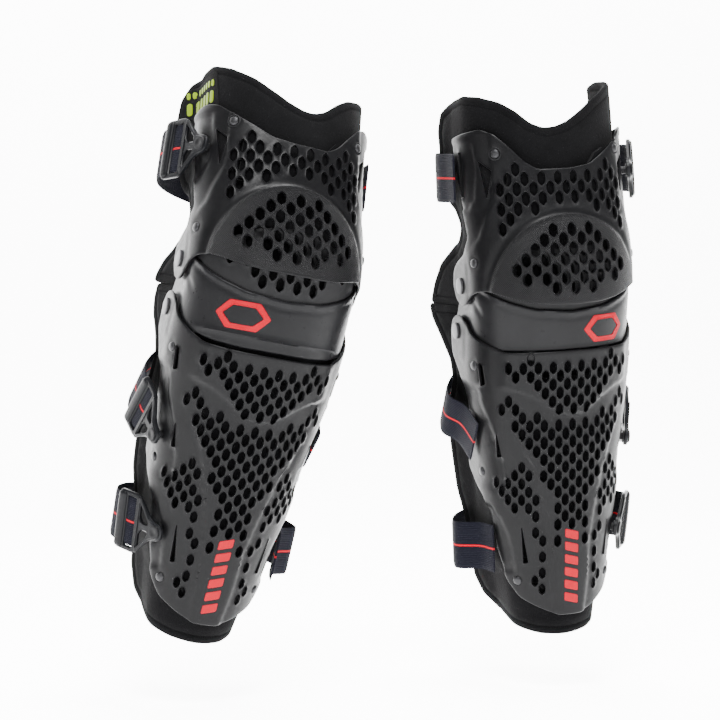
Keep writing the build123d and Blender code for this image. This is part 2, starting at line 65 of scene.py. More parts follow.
LINER_REAR, FLARE_START = 60.0, 16.0
DOME_WIDE, DOME_HIGH, DOME_MIDDLE = 75.0, 80.0, 5.0  # the thigh shell's raised ellipse
THIN_SHEET = 3.0  # a thinner sheet follows its relief on both faces
BAND_FACE, PLATE_FACE, LINER_FACE = -1.2, -4.1, -6.6  # outer faces, from the shells' inside
TURN_START, TURN_END = 16, 62  # heights above and below the knee between which the liner turns

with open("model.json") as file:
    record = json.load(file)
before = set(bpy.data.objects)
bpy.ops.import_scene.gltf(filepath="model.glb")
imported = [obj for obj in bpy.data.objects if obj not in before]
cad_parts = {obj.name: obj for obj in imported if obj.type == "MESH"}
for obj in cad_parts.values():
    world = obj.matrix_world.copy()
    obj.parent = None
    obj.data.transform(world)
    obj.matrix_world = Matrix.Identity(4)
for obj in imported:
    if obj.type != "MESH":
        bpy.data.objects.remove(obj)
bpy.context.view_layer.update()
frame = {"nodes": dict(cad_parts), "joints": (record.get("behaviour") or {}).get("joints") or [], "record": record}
JOINTS = {j["name"]: j for j in frame["joints"]}
MOUNTS = {m["name"]: m for m in frame["record"]["mounts"]}


# ---------------------------------------------------------------- numbers
def smooth(t):
    t = np.clip(t, 0.0, 1.0)
    return t * t * (3 - 2 * t)


def along(value, knots):
    knots = np.array(sorted(knots), float)
    return np.interp(value, knots[:, 0], knots[:, 1])


def blur(row, reach=9):
    kernel = np.exp(-0.5 * (np.arange(-3 * reach, 3 * reach + 1) / reach) ** 2)
    padded = np.pad(row, 3 * reach, mode="edge")
    return np.convolve(padded, kernel / kernel.sum(), mode="valid")


def rounded(points, radius=4.0, steps=5):
    """A closed outline with its corners rounded."""
    points = np.array(points, float)
    out = []
    for i, here in enumerate(points):
        before, after = points[i - 1] - here, points[(i + 1) % len(points)] - here
        reach = min(radius, np.hypot(*before) * 0.45, np.hypot(*after) * 0.45)
        a, b = here + before / np.hypot(*before) * reach, here + after / np.hypot(*after) * reach
        for t in np.linspace(0, 1, steps):
            out.append((1 - t) ** 2 * a + 2 * t * (1 - t) * here + t * t * b)
    return np.array(out)


def resampled(outline, step):
    """A closed outline cut into even steps."""
    closed = np.vstack([outline, outline[:1]])
    run = np.concatenate([[0], np.cumsum(np.hypot(*np.diff(closed, axis=0).T))])
    marks = np.linspace(0, run[-1], max(8, int(run[-1] / step)), endpoint=False)
    return np.stack([np.interp(marks, run, closed[:, i]) for i in (0, 1)], axis=1)


def area(outline):
    x, z = outline.T
    return 0.5 * np.sum(x * np.roll(z, -1) - np.roll(x, -1) * z)


def inset(outline, distance):
    """A closed outline moved inwards; a negative distance moves it outwards."""
    if area(outline) < 0:
        outline = outline[::-1]
    tangent = np.roll(outline, -1, axis=0) - np.roll(outline, 1, axis=0)
    tangent /= np.maximum(np.hypot(*tangent.T), 1e-9)[:, None]
    return outline + distance * np.stack([-tangent[:, 1], tangent[:, 0]], axis=1)


def inside(points, outline):
    x, z = points[:, 0][:, None], points[:, 1][:, None]
    x1, z1 = outline[:, 0][None], outline[:, 1][None]
    x2, z2 = np.roll(outline, -1, axis=0).T
    crosses = (z1 > z) != (z2[None] > z)
    slope = np.where(z2 == z1[0], 1e-9, z2 - z1[0])
    return (crosses & (x < (x2 - x1[0]) * (z - z1) / slope + x1)).sum(axis=1) % 2 == 1


def both_sides(points):
    return [*points, *[(-x, z) for x, z in reversed(points) if x]]


# ---------------------------------------------------------------- surfaces
class LegSurface:
    """A U-shaped surface round the leg: (distance round from the front, height) to a point."""

    def __init__(self, depth=None, splay=(0.0, 0.0), fade=((0, 1.0),)):
        self.z = np.arange(ROW_AT_LOW, ROW_AT_TOP + 1.0)
        rows = np.array(SECTIONS, float)[::-1]
        width, front, straight = (blur(np.interp(self.z, rows[:, 0], rows[:, i])) for i in (1, 2, 3))
        front = depth(self.z) if depth else front
        self.s = np.arange(-210.0, 211.0)
        turn = np.radians(np.linspace(0, 90, 91))
        far = np.abs(self.s)
        xs, ys = [], []
        shares = along(self.z, fade)
        for w, d, y0, share in zip(width, front, straight, shares):
            x, y = w * np.sin(turn), y0 - (d + y0) * np.cos(turn)
            run = np.concatenate([[0], np.cumsum(np.hypot(np.diff(x), np.diff(y)))])
            past = np.maximum(far - run[-1], 0)
            lean = np.where(self.s < 0, share * splay[0], splay[1]) / (LINER_REAR - FLARE_START)
            beyond = np.maximum(past - (FLARE_START - y0), 0)
            turned = beyond / np.sqrt(1 + lean * lean)
            xs.append((np.interp(far, run, x) + turned * lean) * np.sign(self.s))
            ys.append(np.interp(far, run, y) + past - beyond + turned)
        self.grid = np.stack([np.array(xs), np.array(ys)], axis=-1)

    def at(self, s, z):
        """Bilinear lookup of (x, y, z)."""
        i = np.clip(z - self.z[0], 0, len(self.z) - 1.001)
        j = np.clip(s - self.s[0], 0, len(self.s) - 1.001)
        i0, j0 = i.astype(int), j.astype(int)
        a, b = (i - i0)[:, None], (j - j0)[:, None]
        g = self.grid
        xy = (1 - a) * ((1 - b) * g[i0, j0] + b * g[i0, j0 + 1])
        xy += a * ((1 - b) * g[i0 + 1, j0] + b * g[i0 + 1, j0 + 1])
        return np.column_stack([xy, z])

    def point(self, s, z, height):
        """Points standing off the surface along its normal."""
        here = self.at(s, z)
        across = self.at(s + 2.0, z) - self.at(s - 2.0, z)
        up = self.at(s, z + 2.0) - self.at(s, z - 2.0)
        normal = np.cross(across, up)
        normal /= np.linalg.norm(normal, axis=1)[:, None]
        return here + normal * np.asarray(height)[:, None]

    def plane(self, s, z, height=0.0, turn=0.0):
        """A matrix whose x runs round the leg, y up and z outwards, turned about its z."""
        s, z = np.array([float(s)]), np.array([float(z)])
        here = self.point(s, z, np.array([height]))[0]
        x = (self.at(s + 1, z) - self.at(s - 1, z))[0]
        normal = self.point(s, z, np.array([1.0]))[0] - self.at(s, z)[0]
        x, normal = Vector(x).normalized(), Vector(normal).normalized()
        y = normal.cross(x)
        m = Matrix((x, y, normal)).transposed().to_4x4()
        m.translation = Vector(here)
        return m @ Matrix.Rotation(math.radians(turn), 4, "Z")


def cup_depth(z, thigh_radius=68.0, shin_radius=80.0):
    above, below = np.maximum(z - THIGH_HINGE[1], 0), np.minimum(z - SHIN_HINGE[1], 0)
    top = np.sqrt(np.maximum(thigh_radius**2 - above**2, 1.0)) - THIGH_HINGE[0]
    low = np.sqrt(np.maximum(shin_radius**2 - below**2, 1.0)) - SHIN_HINGE[0]
    share = np.clip((z - SHIN_HINGE[1]) / (THIGH_HINGE[1] - SHIN_HINGE[1]), 0, 1)
    return np.maximum(low + (top - low) * share, 30.0)


LEG = LegSurface()
PLATE = LegSurface(depth=lambda z: cup_depth(z) - PLATE_FACE)
UPPER_LINER = LegSurface(splay=(26.0, 14.0), fade=((0, 0.5), (50, 0.55), (115, 1.0)))
LOWER_LINER = LegSurface(splay=(14.0, 17.0), fade=((-90, 1.0), (-40, 0.7), (0, 0.6)))


# ---------------------------------------------------------------- guard frames
def turn_about(hinge, degrees):
    there = Matrix.Translation((0, hinge[0], hinge[1]))
    return there @ Matrix.Rotation(math.radians(degrees), 4, "X") @ there.inverted()


def guard_frames(side):
    """Row-frame matrices of a guard's band, thigh and shin, from the record's joints."""
    leg = MOUNTS[side + "_leg"]
    up = Vector(leg["axis"])
    across = -Vector(JOINTS[side + "_shin_hinge"]["axis"])
    back = up.cross(across)
    m = Matrix((across, back, up)).transposed().to_4x4()
    m.translation = Vector(leg["pos_m"])
    band = m @ Matrix.Scale(MM, 4)
    thigh = band @ turn_about(THIGH_HINGE, JOINTS[side + "_thigh_hinge"]["range_deg"][0])
    shin = band @ turn_about(SHIN_HINGE, -JOINTS[side + "_shin_hinge"]["range_deg"][0])
    return {"band": band, "thigh": thigh, "shin": shin}


FRAMES = {side: guard_frames(side) for side in ("right", "left")}


# ---------------------------------------------------------------- meshes
def new_object(name, points, faces, material, uv=None, sharp=35):
    """A mesh object from points in metres in the row frame."""
    mesh = bpy.data.meshes.new(name)
    mesh.from_pydata(points.tolist(), [], faces)
    mesh.update()
    mesh.validate()
    if uv is not None:
        layer = mesh.uv_layers.new(name="flat")
        index = np.zeros(len(mesh.loops), int)
        mesh.loops.foreach_get("vertex_index", index)
        layer.data.foreach_set("uv", uv[index].astype(np.float32).ravel())
    mesh.shade_smooth()
    if sharp:
        mesh.set_sharp_from_angle(angle=math.radians(sharp))
    mesh.materials.append(material)
    obj = bpy.data.objects.new(name, mesh)
    bpy.context.scene.collection.objects.link(obj)
    return obj


# How far in from an edge, and how far below the face there.
SHELL_RIM = ((0.0, 0.7), (0.4, 0.2), (0.9, 0.0))
HOLE_RIM = ((0.0, 0.45), (0.4, -0.3), (1.15, 0.0))
FINE_OUTLINE = 60  # an outline with this many points is already rounded


class Panel:
    """A sheet with a rounded rim and rimmed holes, drawn flat and laid on a surface."""

    def __init__(self, outline, holes=(), rim=SHELL_RIM, step=4.0, edge=2.6, hole_rim=HOLE_RIM):
        points, labels, drops, edges = [], [], [], []

        def ring(loop, label, drop):
            first = len(points)
            points.extend(loop.tolist())
            labels.extend([label] * len(loop))
            drops.extend([drop] * len(loop))
            edges.extend([(first + i, first + (i + 1) % len(loop)) for i in range(len(loop))])

        coarse = len(outline) < FINE_OUTLINE
        border = resampled(rounded(outline) if coarse else np.array(outline, float), edge)
        for k, (distance, drop) in enumerate(rim):
            ring(inset(border, distance) if distance else border, 1 if k == 0 else 0, drop)
        for n, hole in enumerate(holes):
            for k, (distance, drop) in enumerate(hole_rim):
                ring(inset(hole, -distance) if distance else hole, 2 + n if k == 0 else 0, drop)
        tree = KDTree(len(points))
        for i, (x, z) in enumerate(points):
            tree.insert((x, z, 0), i)
        tree.balance()
        low, high = border.min(axis=0), border.max(axis=0)
        xs, zs = np.arange(low[0], high[0], step), np.arange(low[1], high[1], step * 0.87)
        field = np.array([(x + (k % 2) * step / 2, z) for k, z in enumerate(zs) for x in xs])
        field = field[inside(field, inset(border, rim[-1][0]))]
        if len(holes):
            taken = np.zeros(len(field), bool)
            for hole in holes:
                middle = hole.mean(axis=0)
                reach = np.abs(hole - middle).max() + 3
                near = np.where(np.hypot(*(field - middle).T) < reach)[0]
                if len(near):
                    taken[near] |= inside(field[near], inset(hole, -1.2))
            field = field[~taken]
        for x, z in field:
            if tree.find((x, z, 0))[2] > step * 0.42:
                points.append([x, z])
                labels.append(0)
                drops.append(0.0)
        out = delaunay_2d_cdt([Vector(p) for p in points], edges, [], 0, 1e-5)
        verts, faces, source = out[0], out[2], out[3]
        self.flat = np.array([(v.x, v.y) for v in verts])
        origin = [s[0] if s else -1 for s in source]
        label = np.array([labels[i] if i >= 0 else 0 for i in origin])
        self.drop = np.array([drops[i] if i >= 0 else 0.0 for i in origin])
        faces = np.array([f for f in faces if len(f) == 3])
        tags = label[faces]
        cut = (tags[:, 0] == tags[:, 1]) & (tags[:, 1] == tags[:, 2]) & (tags[:, 0] > 0)
        self.faces = faces[~cut]

    def build(
        self, name, surface, matrix, material, height=OUTER, thick=OUTER, relief=None, mirrored=False,
        bend=None, back_drop=1.0, sharp=35,
    ):
        """Lays the panel on a surface and closes it with a back face and edge walls."""
        s, z = self.flat.T
        lift = relief(s, z) if relief else np.zeros(len(s))
        top = surface.point(s, z, height + lift - self.drop)
        behind = height - thick + self.drop * back_drop + (lift if thick < THIN_SHEET else 0)
        back = surface.point(s, z, behind)
        n = len(s)
        pairs = np.vstack([self.faces[:, [0, 1]], self.faces[:, [1, 2]], self.faces[:, [2, 0]]])
        known = set(map(tuple, pairs.tolist()))
        rim = [(a, b) for a, b in pairs.tolist() if (b, a) not in known]
        faces = self.faces.tolist() + (self.faces[:, ::-1] + n).tolist()
        faces += [(b, a, a + n, b + n) for a, b in rim]
        points = np.vstack([top, back])
        used = np.zeros(2 * n, bool)
        used[np.unique(np.concatenate([self.faces.ravel(), self.faces.ravel() + n]))] = True
        new = np.cumsum(used) - 1
        faces = [[int(new[i]) for i in f] for f in faces]
        if mirrored:
            points[:, 0] *= -1
            faces = [f[::-1] for f in faces]
        flat = np.vstack([self.flat, self.flat])[used]
        points = points[used]
        row = placed(points, matrix) if bend is None else bent(points, *bend)
        return new_object(name, row, faces, material, uv=flat * MM, sharp=sharp)


def placed(points, matrix):
    m = np.array(matrix)
    return points @ m[:3, :3].T + m[:3, 3]


def bent(points, lower, upper, start, end):
    """Points that follow one frame below a height and another above a second height."""
    w = smooth((points[:, 2] - start) / (end - start))[:, None]
    return placed(points, lower) * (1 - w) + placed(points, upper) * w


def hexagon(x, z, width, height):
    wide, tall, shoulder = width / 2, height / 2, height / 4
    left = [(0, tall), (-wide, shoulder), (-wide, -shoulder)]
    corners = left + [(-x, -z) for x, z in left]
    return rounded(corners, radius=1.2, steps=3) + (x, z)


def lattice(outline, pitch_x, pitch_z, width, height, shift=(0.0, 3.0)):
    """Staggered rows of hexagonal holes whose middles lie inside an outline."""
    outline = np.array(outline, float)
    holes = []
    for row in range(-60, 60):
        z = row * pitch_z / 2 + shift[1]
        for column in range(-16, 17):
            x = (column + 0.5 * (row % 2)) * pitch_x + shift[0]
            if inside(np.array([[x, z]]), outline)[0]:
                holes.append(hexagon(x, z, width, height))
    return holes


def lathe(name, profile, matrix, material, turns):
    """A turned piece: (radius, height) pairs about a matrix's z."""
    points, faces = [], []
    for radius, height in profile:
        for k in range(turns):
            a = 2 * math.pi * k / turns
            points.append((radius * math.cos(a), radius * math.sin(a), height))
    rows = len(profile)
    for i in range(rows - 1):
        for k in range(turns):
            n = (k + 1) % turns
            faces.append((i * turns + k, i * turns + n, (i + 1) * turns + n, (i + 1) * turns + k))
    faces.append(tuple(range(turns))[::-1])
    faces.append(tuple((rows - 1) * turns + k for k in range(turns)))
    return new_object(name, placed(np.array(points), matrix), faces, material, sharp=40)


def joined(objects, name):
    """Several meshes joined into one piece."""
    first = objects[0]
    if len(objects) > 1:
        with bpy.context.temp_override(active_object=first, selected_editable_objects=objects):
            bpy.ops.object.join()
    first.name = name
    first.data.name = name
    return first


# ---------------------------------------------------------------- materials
class Nodes:
    """A small helper for node trees."""

    def __init__(self, name):
        self.material = bpy.data.materials.new(name)
        self.material.use_nodes = True
        self.tree = self.material.node_tree
        self.bsdf = self.tree.nodes["Principled BSDF"]

    def add(self, kind, **settings):
        node = self.tree.nodes.new(kind)
        for key, value in settings.items():
            if hasattr(node, key):
                setattr(node, key, value)
            else:
                node.inputs[key].default_value = value
        return node

    def link(self, a, b):
        self.tree.links.new(a, b)

    def math(self, operation, a, b=None):
        node = self.add("ShaderNodeMath", operation=operation)
        for socket, value in zip(node.inputs, (a, b)):
            if isinstance(value, (int, float)):
                socket.default_value = value
            elif value is not None:
                self.link(value, socket)
        return node.outputs[0]

    def coordinate(self, flat=False):
        if flat:
            return self.add("ShaderNodeUVMap", uv_map="flat").outputs[0]
        return self.add("ShaderNodeTexCoord").outputs["Object"]

    def noise(self, vector, scale, detail=3.0, rough=0.55):
        node = self.add("ShaderNodeTexNoise", Scale=scale, Detail=detail, Roughness=rough)
        self.link(vector, node.inputs["Vector"])
        return node.outputs["Fac"]

    def ramp(self, factor, low, high, a, b):
        node = self.add("ShaderNodeMapRange", **{"From Min": low, "From Max": high, "To Min": a, "To Max": b})
        self.link(factor, node.inputs["Value"])
        return node.outputs["Result"]

    def mix(self, factor, a, b):
        node = self.add("ShaderNodeMix", data_type="RGBA")
        for socket, value in ((node.inputs[0], factor), (node.inputs[6], a), (node.inputs[7], b)):
            if isinstance(value, (tuple, list)):
                socket.default_value = (*value[:3], 1.0)
            elif isinstance(value, (int, float)):
                socket.default_value = value
            else:
                self.link(value, socket)
        return node.outputs[2]

    def bump(self, height, strength, distance, normal=None):
        node = self.add("ShaderNodeBump", Strength=strength, Distance=distance)
        self.link(height, node.inputs["Height"])
        if normal is not None:
            self.link(normal, node.inputs["Normal"])
        return node.outputs[0]

    def finish(self, color, rough, normal=None, **settings):
        for socket, value in (("Base Color", color), ("Roughness", rough), ("Normal", normal)):
            if value is None:
                continue
            if isinstance(value, (tuple, list)):
                self.bsdf.inputs[socket].default_value = (*value[:3], 1.0)
            elif isinstance(value, (int, float)):
                self.bsdf.inputs[socket].default_value = value
            else:
                self.link(value, self.bsdf.inputs[socket])
        for key, value in settings.items():
            self.bsdf.inputs[key].default_value = value
        return self.material


def plastic(name, color, rough=0.42, grain=0.12, hatch=False):
    """Moulded plastic: spark-eroded grain, faint wear and, on the dome, a fine hatch."""
    pitch = 0.0016
    n = Nodes(name)
    where = n.coordinate()
    cloud = n.noise(where, 28.0, 4.0)
    fine = n.noise(where, 2600.0, 2.0)
    worn = n.noise(where, 160.0, 5.0, 0.7)
    base = n.mix(n.ramp(cloud, 0.3, 0.7, 0.0, 1.0), color, tuple(c * 1.25 for c in color))
    normal = n.bump(fine, grain, 0.0004)
    if hatch:
        flat = n.coordinate(flat=True)
        parts = n.add("ShaderNodeSeparateXYZ")
        n.link(flat, parts.inputs[0])
        x, z = parts.outputs[0], parts.outputs[1]
        waves = [n.math("SINE", n.math("MULTIPLY", axis, 2 * math.pi / pitch)) for axis in (x, z)]
        grid = n.math("MULTIPLY", waves[0], waves[1])
        middle = n.math("SUBTRACT", z, DOME_MIDDLE * MM)
        across = n.math("POWER", n.math("MULTIPLY", x, 1 / (DOME_WIDE * MM)), 2.0)
        up = n.math("POWER", n.math("MULTIPLY", middle, 1 / (DOME_HIGH * MM)), 2.0)
        ring = n.math("SQRT", n.math("ADD", across, up))
        band = n.math("MULTIPLY", n.ramp(ring, 1.0, 0.97, 0.0, 1.0), n.ramp(z, 0.006, 0.009, 0.0, 1.0))
        dots = n.math("MULTIPLY", grid, band)
        normal = n.bump(dots, 0.9, 0.0004, normal)
        base = n.mix(n.ramp(dots, 0.1, 0.6, 0.0, 0.7), base, tuple(c * 2.6 for c in color))
    return n.finish(base, n.ramp(worn, 0.35, 0.75, rough - 0.05, rough + 0.1), normal, IOR=1.14)


def knit(name, color, scale=900.0, rough=0.95):
    """Knitted liner fabric with a soft nap."""
    n = Nodes(name)
    flat = n.coordinate(flat=True)
    cells = n.add("ShaderNodeTexVoronoi", Scale=scale, feature="F1")
    n.link(flat, cells.inputs["Vector"])
    cloud = n.noise(n.coordinate(), 40.0, 5.0)
    fuzz = n.noise(n.coordinate(), 1500.0, 3.0)
    tone = n.math("ADD", n.math("MULTIPLY", cloud, 0.6), n.math("MULTIPLY", fuzz, 0.5))
    base = n.mix(n.ramp(tone, 0.35, 0.75, 0.0, 1.0), color, tuple(c * 1.9 for c in color))
    normal = n.bump(cells.outputs["Distance"], 0.5, 0.0006)
    normal = n.bump(cloud, 0.3, 0.002, normal)
    sheen = {"Sheen Weight": 0.012, "Sheen Roughness": 0.5}
    return n.finish(base, rough, normal, IOR=1.08, **sheen)


def webbing(name, color, line):
    """Ribbed elastic webbing with a thin coloured line down its middle."""
    rib_pitch, weave_pitch, line_half = 0.0017, 0.0012, 0.0009
    n = Nodes(name)
    flat = n.coordinate(flat=True)
    parts = n.add("ShaderNodeSeparateXYZ")
    n.link(flat, parts.inputs[0])
    x, y = parts.outputs[0], parts.outputs[1]
    ribs = n.math("SINE", n.math("MULTIPLY", y, 2 * math.pi / rib_pitch))
    weave = n.math("SINE", n.math("MULTIPLY", x, 2 * math.pi / weave_pitch))
    fuzz = n.noise(n.coordinate(), 1800.0, 3.0)
    stripe = n.math("LESS_THAN", n.math("ABSOLUTE", y), line_half)
    dark = n.mix(n.ramp(fuzz, 0.3, 0.7, 0.0, 1.0), color, tuple(c * 1.6 for c in color))
    relief = n.math("ADD", ribs, n.math("MULTIPLY", n.math("MULTIPLY", weave, ribs), 0.5))
    normal = n.bump(relief, 0.6, 0.0003)
    return n.finish(n.mix(stripe, dark, line), 0.85, normal, IOR=1.12, **{"Sheen Weight": 0.01})


def metal(name, color, rough=0.38):
    """Satin-anodised rivet metal."""
    n = Nodes(name)
    where = n.coordinate()
    grain = n.noise(where, 1400.0, 3.0)
    cloud = n.noise(where, 120.0, 4.0)
    base = n.mix(n.ramp(cloud, 0.3, 0.7, 0.0, 1.0), color, tuple(c * 0.8 for c in color))
    normal = n.bump(grain, 0.15, 0.0003)
    return n.finish(base, n.ramp(grain, 0.3, 0.7, rough, rough + 0.12), normal, Metallic=0.9)


def ink(name, color):
    """Printed ink over grained plastic."""
    n = Nodes(name)
    where = n.coordinate()
    cloud, fine = n.noise(where, 60.0, 4.0), n.noise(where, 2400.0, 2.0)
    base = n.mix(n.ramp(cloud, 0.3, 0.7, 0.0, 1.0), color, tuple(min(1.0, c * 0.88) for c in color))
    normal = n.bump(fine, 0.12, 0.0004)
    return n.finish(base, n.ramp(fine, 0.3, 0.7, 0.38, 0.5), normal, IOR=1.12)


SHELL = plastic("shell_plastic", (0.0018, 0.0018, 0.0020), 0.36)
DOME = plastic("thigh_shell_plastic", (0.0018, 0.0018, 0.0020), 0.36, hatch=True)
BAND = plastic("band_plastic", (0.0032, 0.0032, 0.0035), 0.32, grain=0.05)
PLATE_PLASTIC = plastic("plate_plastic", (0.0045, 0.0045, 0.0048), 0.50)
BUCKLE = plastic("buckle_plastic", (0.0024, 0.0025, 0.0029), 0.32)
STUD = plastic("stud_plastic", (0.0035, 0.0035, 0.0038), 0.48)
KNIT = knit("liner_fabric", (0.0011, 0.0011, 0.0012))
FOAM = knit("foam", (0.0008, 0.0008, 0.0009), 500.0, 1.0)
WEBBING = webbing("strap_webbing", (0.0016, 0.0017, 0.0032), (0.20, 0.0002, 0.0040))
RIVET = metal("rivet_metal", (0.014, 0.014, 0.015), 0.42)
PIVOT = metal("pivot_metal", (0.036, 0.036, 0.038), 0.45)
RED = ink("mark_red", (0.17, 0.0001, 0.0048))
LIME = ink("label_lime", (0.085, 0.125, 0.0006))
LABEL = knit("label_cloth", (0.0012, 0.0012, 0.0012), 2000.0)


# ---------------------------------------------------------------- pieces
def bulge(z):
    return along(z, BULGE)


def bend_share(s, z):
    """1 in front, 0 at the sides: how much a front-only change in depth shows."""
    return np.cos(np.radians(np.clip(np.abs(s) / 1.16, 0, 90))) ** 2


def bowl(s, z, places, reach, depth):
    """Round dips at places."""
    dip = np.zeros(len(s))
    for x, y in places:
        dip = np.minimum(dip, -depth * (1 - smooth((np.hypot(s - x, z - y) - reach + 1.5) / 1.5)))
    return dip


def side_of(line, s, z):
    """Signed distance from a polyline of (s, z) that runs downwards, positive towards the front."""
    line = sorted(line, key=lambda p: p[1])
    xs = np.interp(z, [p[1] for p in line], [p[0] for p in line])
    return xs - np.abs(s)


def thigh_relief(s, z):
    a = np.abs(s)
    lift = bulge(z) * bend_share(s, z)
    dome = np.sqrt((s / DOME_WIDE) ** 2 + ((z - DOME_MIDDLE) / DOME_HIGH) ** 2)
    lift += 2.3 * smooth((1.0 - dome) / 0.055)
    lift -= 1.0 * smooth((dome - 0.985) / 0.03) * smooth((1.12 - dome) / 0.1)
    crease = side_of([(62, 158), (63, 126), (64, 100), (80, 66), (96, 46)], s, z)
    lift -= 2.0 * smooth(-crease / 3.0) * smooth((z - 52) / 14)
    facet = side_of([(82, 150), (80, 124), (84, 100), (94, 86)], s, z)
    lift -= 1.5 * smooth(-facet / 1.6) * smooth((z - 88) / 3) * smooth((150 - z) / 3)
    lift += 0.7 * smooth((a - 100) / 6) * smooth((48 - z) / 10)
    lift += bowl(s, z, [(side * x, y) for side in (-1, 1) for x, y in ((60, 139), (89, 43))], 6.6, 0.7)
    return lift


def ridge_half(z):
    low = ((-290, 12), (-280, 13), (-250, 17), (-215, 18), (-190, 22), (-170, 27))
    return along(z, (*low, (-143, 34), (-113, 47), (-96, 60), (-80, 74)))


def shin_relief(s, z):
    a = np.abs(s)
    lip = -96 + 26 * (1 - np.exp(-((s / 33.0) ** 2)))
    lift = 2.4 * smooth((z - lip) / 2.6) * smooth((70 - a) / 16)
    r = ridge_half(z)
    lift += 2.3 * smooth((r - a + 1.0) / 2.0) * smooth((-96 - z) / 30)
    lift -= 0.5 * smooth((a - r - 2) / 22) * smooth((-110 - z) / 30)
    crease = side_of([(92, -60), (84, -86), (70, -112), (60, -140), (58, -160)], s, z)
    lift -= 1.8 * smooth(-crease / 2.4) * smooth((-64 - z) / 10) * smooth((z + 168) / 12)
    low = side_of([(84, -172), (62, -196), (54, -214), (50, -238)], s, z)
    lift -= 1.7 * smooth(-low / 1.8) * smooth((-178 - z) / 4) * smooth((z + 246) / 6)
    lift += 0.7 * smooth((a - 108) / 8) * smooth((z + 52) / 14)
    places = [(side * x, y) for side in (-1, 1) for x, y in ((94, -50), (90, -150), (48, -250))]
    lift += bowl(s, z, places, 6.0, 0.6)
    return lift


def rim_top(s):
    top = ((0, -1), (34, 2), (58, 9), (76, 16), (92, 24), (104, 31), (113, 35), (200, 35))
    return along(np.abs(s), top)


def band_relief(s, z):
    a = np.abs(s)
    front = bend_share(s, z) * 2.7
    lower = smooth((z + 37.5) / 2.0)
    lift = front * lower
    edge = rim_top(s) - z
    lift += 0.95 * np.exp(-(((edge - 2.4) / 1.9) ** 2)) * smooth((96 - a) / 14)
    lift -= 0.45 * np.exp(-(((edge - 6.4) / 1.8) ** 2)) * smooth((92 - a) / 20)
    lift += 0.5 * np.exp(-(((z + 34.5) / 1.6) ** 2)) * smooth((80 - a) / 10)
    for x, y, long, wide, slope in ((84, 14, 9, 2.4, 0.35), (93, 2, 10, 2.8, 0.75)):
        along_x = (a - x) * math.cos(slope) + (z - y) * math.sin(slope)
        along_z = (z - y) * math.cos(slope) - (a - x) * math.sin(slope)
        lift -= 1.0 * np.exp(-((along_x / long) ** 2) - (along_z / wide) ** 2)
    return lift


def liner_relief(s, z):
    wave = 0.7 * np.sin(s / 23.0 + 0.6) * np.sin(z / 31.0) + 0.4 * np.sin(s / 11.0 + z / 17.0)
    beside = smooth((np.abs(s) - 44) / 16) * smooth((128 - np.abs(s)) / 16)
    upper = smooth((z - 58) / 16) * smooth((146 - z) / 20)
    lower = smooth((-56 - z) / 20) * smooth((z + 252) / 20)
    return wave + 4.4 * beside * (upper + lower)


THIGH_EDGE = [
    (-116, 153), (-92, 158), (-77, 156), (-55, 143), (-42, 136), (-26, 127), (-6, 124), (24, 124),
    (35, 131), (46, 143), (60, 156), (74, 161), (92, 158), (116, 153),
    *both_sides([
        (118, 132), (105, 96), (98, 66), (106, 51), (124, 43), (135, 35), (138, 21), (131, 8),
        (118, 2.5), (107, 5), (96, 14), (84, 18), (72, 18), (58, 14), (42, 9), (24, 6), (0, 5),
    ]),
]
SHIN_EDGE = both_sides([
    (0, -36), (40, -36.5), (62, -36), (76, -31), (88, -26), (97, -22), (108, -13), (118, -8), (132, -6),
    (142, -11), (145, -22), (141, -44), (124, -62), (111, -88), (111, -110), (121, -134), (121, -150),
    (110, -160), (89, -171), (78, -190), (72, -222), (60, -250), (46, -266), (28, -275), (11, -282),
])
BAND_EDGE = both_sides([
    (0, -1), (34, 2), (58, 9), (76, 16), (92, 24), (104, 31), (113, 35), (122, 35), (130, 31), (134, 22),
    (134, 10), (140, -4), (144, -14), (144, -25), (138, -33), (128, -36), (112, -37), (90, -39), (74, -40),
    (56, -44), (30, -46), (0, -46),
])
PLATE_EDGE = both_sides([
    (0, 64), (28, 60), (56, 47), (80, 36), (104, 33), (108, 22), (108, -10), (70, -20), (50, -27), (0, -28),
])
UPPER_LINER_EDGE = [
    (-189, -0.3), (-188, 8), (-180, 22), (-160, 42), (-141, 57), (-133, 68), (-140, 82), (-151, 98),
    (-156, 124), (-157, 160), (-153, 180), (-142, 193), (-122, 199), (-98, 199), (-72, 194), (-46, 185),
    (-28, 175), (-12, 166.5), (2, 162), (14, 161.5), (26, 166), (40, 177), (55, 185), (78, 190),
    (104, 191), (130, 187), (149, 177), (156, 160), (156, 124), (151, 98), (140, 84), (132, 73),
    (139, 63), (155, 52), (175, 38), (187, 20), (192, 6), (192, -0.3),
]
LOWER_LINER_EDGE = [
    (-189, 0.3), (-188, -14), (-180, -32), (-165, -52), (-156, -68), (-157, -90), (-157, -130), (-150, -176),
    (-138, -204), (-132, -236), (-126, -264), (-113, -285), (-94, -295), (-60, -301), (-30, -304), (0, -305),
    (30, -304), (62, -300), (96, -293), (118, -280), (131, -262), (136, -236), (141, -204), (151, -176),
    (158, -130), (159, -90), (155, -72), (160, -52), (174, -30), (188, -12), (192, 0.3), (110, 0.3), (0, 0.3),
    (-110, 0.3),
]

